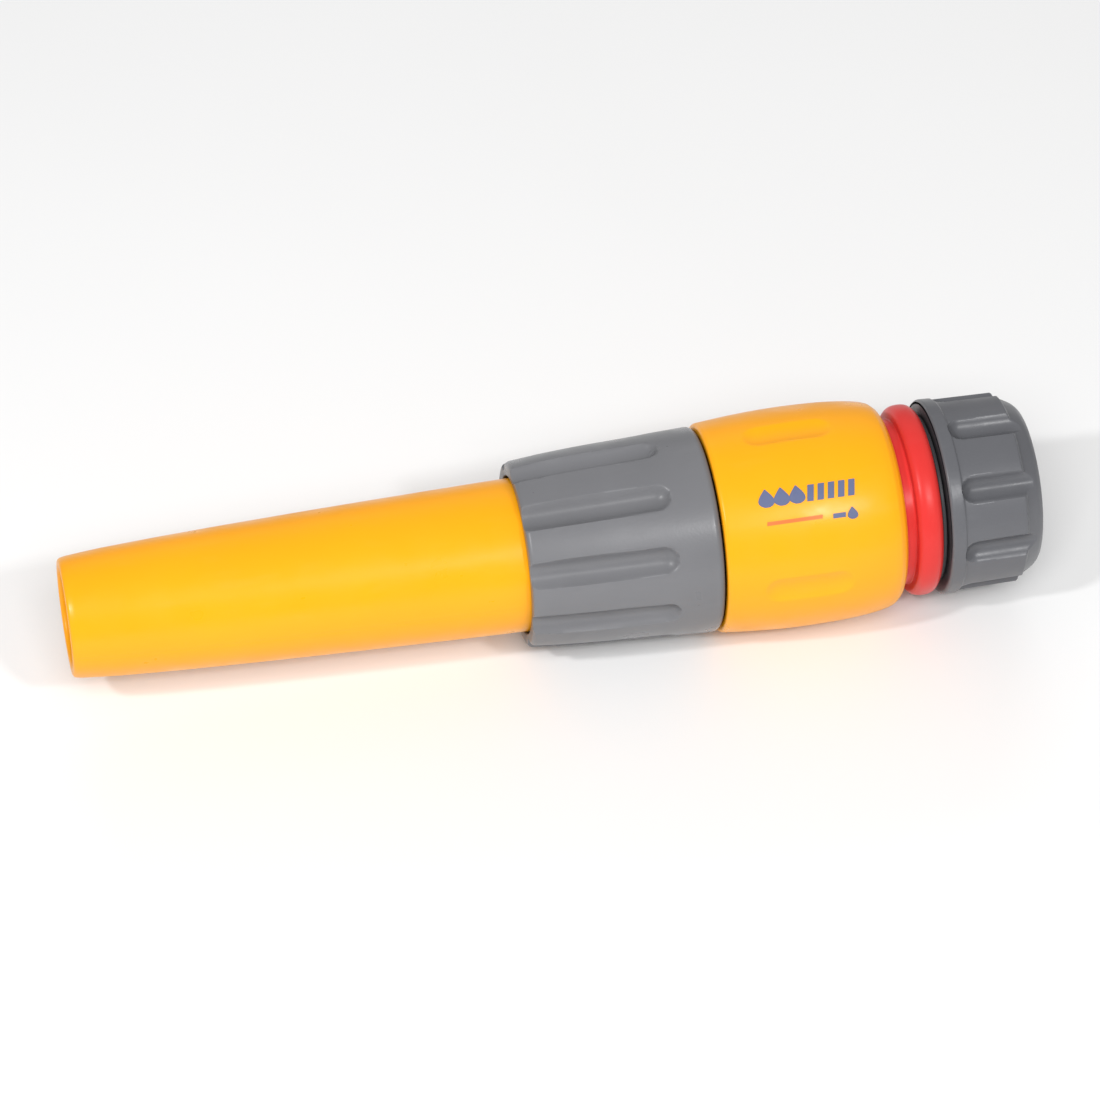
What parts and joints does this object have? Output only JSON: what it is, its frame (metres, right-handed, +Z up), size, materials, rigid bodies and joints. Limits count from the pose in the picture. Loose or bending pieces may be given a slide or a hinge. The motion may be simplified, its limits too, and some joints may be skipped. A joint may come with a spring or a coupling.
{
  "type": "hose spray nozzle",
  "caption": "Adjustable in-line hose spray nozzle: a tapered barrel twists out of a fluted grip collar, snapped into a quick-release water-stop hose connector.",
  "frame": {"origin": "on the common axis of all round parts, at the hose nut's rear face, where the hose goes in", "axes": "+X along the axis, out of the hose end towards the hose; the spray tip points along -X; +Z up"},
  "size_m": [0.183, 0.0416, 0.0416],
  "materials": {
    "yellow_plastic": "smooth moulded, satin gloss",
    "collar_grey_plastic": "fine moulded texture",
    "nut_grey_plastic": "fine moulded texture",
    "dark_grey_plastic": "plain moulded",
    "red_plastic": "smooth moulded",
    "white_plastic": "plain moulded",
    "black_rubber": "greased rubber",
    "steel": "bright spring steel",
    "brass": "turned"
  },
  "bodies": {
    "connector": {"hose_tail": "dark_grey_plastic", "socket_body": "dark_grey_plastic", "colour_ring": "red_plastic", "body_seal": "black_rubber", "valve_spring": "steel", "sleeve_spring": "steel", "sleeve_guide_ring": "white_plastic"},
    "collet": {"hose_collet": "white_plastic"},
    "nut": {"hose_nut": "nut_grey_plastic"},
    "sleeve": {"release_sleeve": "yellow_plastic"},
    "jaw_1": {"locking_jaw_1": "steel"},
    "jaw_2": {"locking_jaw_2": "steel"},
    "jaw_3": {"locking_jaw_3": "steel"},
    "jaw_4": {"locking_jaw_4": "steel"},
    "valve": {"valve_plunger": "white_plastic", "valve_seal": "black_rubber"},
    "nozzle": {"nozzle_core": "dark_grey_plastic", "spigot_seal": "black_rubber", "collar_clip": "steel", "grip_collar": "collar_grey_plastic", "barrel_stop_ring": "steel", "jet_pin": "brass", "shutoff_seal": "black_rubber", "spray_disc": "white_plastic"},
    "barrel_carrier": {"barrel_seal": "black_rubber"},
    "twist_barrel": {"barrel": "yellow_plastic", "orifice_insert": "collar_grey_plastic"}
  },
  "joints": [
    {"name": "collet_slide", "type": "slide", "parent": "connector", "child": "collet", "axis": [1, 0, 0], "range_m": [0, 0.008]},
    {"name": "nut_turn", "type": "hinge", "parent": "collet", "child": "nut", "pos_m": [-0.01, 0, 0], "axis": [1, 0, 0], "range_deg": [0, 720]},
    {"name": "sleeve_release", "type": "slide", "parent": "connector", "child": "sleeve", "axis": [1, 0, 0], "range_m": [0, 0.0013], "stiffness_N_per_m": 1200, "springref_m": -0.004, "deforming": ["sleeve_spring"]},
    {"name": "jaw_1_slide", "type": "slide", "parent": "connector", "child": "jaw_1", "axis": [0, 0.7071, 0.7071], "range_m": [0, 0.000975]},
    {"name": "jaw_2_slide", "type": "slide", "parent": "connector", "child": "jaw_2", "axis": [0, 0.7071, -0.7071], "range_m": [0, 0.000975]},
    {"name": "jaw_3_slide", "type": "slide", "parent": "connector", "child": "jaw_3", "axis": [0, -0.7071, -0.7071], "range_m": [0, 0.000975]},
    {"name": "jaw_4_slide", "type": "slide", "parent": "connector", "child": "jaw_4", "axis": [0, -0.7071, 0.7071], "range_m": [0, 0.000975]},
    {"name": "valve_travel", "type": "slide", "parent": "connector", "child": "valve", "axis": [1, 0, 0], "range_m": [0, 0.0015], "stiffness_N_per_m": 400, "springref_m": -0.003, "deforming": ["valve_spring"]},
    {"name": "nozzle_swivel", "type": "hinge", "parent": "connector", "child": "nozzle", "pos_m": [-0.05, 0, 0], "axis": [1, 0, 0], "continuous": true},
    {"name": "barrel_slide", "type": "slide", "parent": "nozzle", "child": "barrel_carrier", "axis": [-1, 0, 0], "range_m": [0, 0.0075]},
    {"name": "barrel_twist", "type": "hinge", "parent": "barrel_carrier", "child": "twist_barrel", "pos_m": [-0.1, 0, 0], "axis": [-1, 0, 0], "range_deg": [0, 540]}
  ],
  "couplings": [
    {"joint": "nut_turn", "follows": "collet_slide", "rad_per_m": 1570.8},
    {"joint": "barrel_twist", "follows": "barrel_slide", "rad_per_m": 1256.6},
    {"joint": "jaw_1_slide", "follows": "sleeve_release", "ratio": 0.7499},
    {"joint": "jaw_2_slide", "follows": "sleeve_release", "ratio": 0.7499},
    {"joint": "jaw_3_slide", "follows": "sleeve_release", "ratio": 0.7499},
    {"joint": "jaw_4_slide", "follows": "sleeve_release", "ratio": 0.7499}
  ]
}
